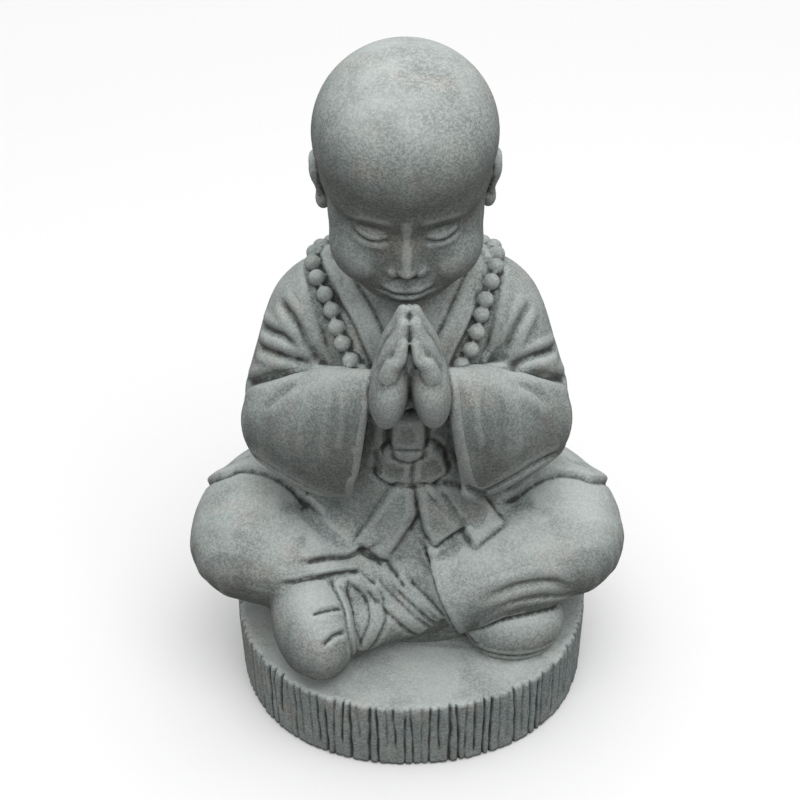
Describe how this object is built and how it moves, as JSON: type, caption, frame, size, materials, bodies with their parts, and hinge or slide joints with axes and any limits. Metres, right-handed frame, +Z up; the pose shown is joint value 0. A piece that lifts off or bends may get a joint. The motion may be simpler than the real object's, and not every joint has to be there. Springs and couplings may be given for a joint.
{
  "type": "praying monk statue",
  "caption": "Seated child monk at prayer on a round log base, one solid cement casting for a garden or shelf.",
  "frame": {"origin": "centre of the log's flat underside, on the surface it stands on", "axes": "+Z up; the figure faces -Y; +X is to the right of a viewer who faces the figure"},
  "size_m": [0.2365, 0.1976, 0.3909],
  "materials": {
    "cement": "raw grey cement with a sandy grain, worn pale on the high places and dark with dirt in the folds"
  },
  "bodies": {
    "root": {"praying_monk_statue": "cement"}
  },
  "joints": []
}
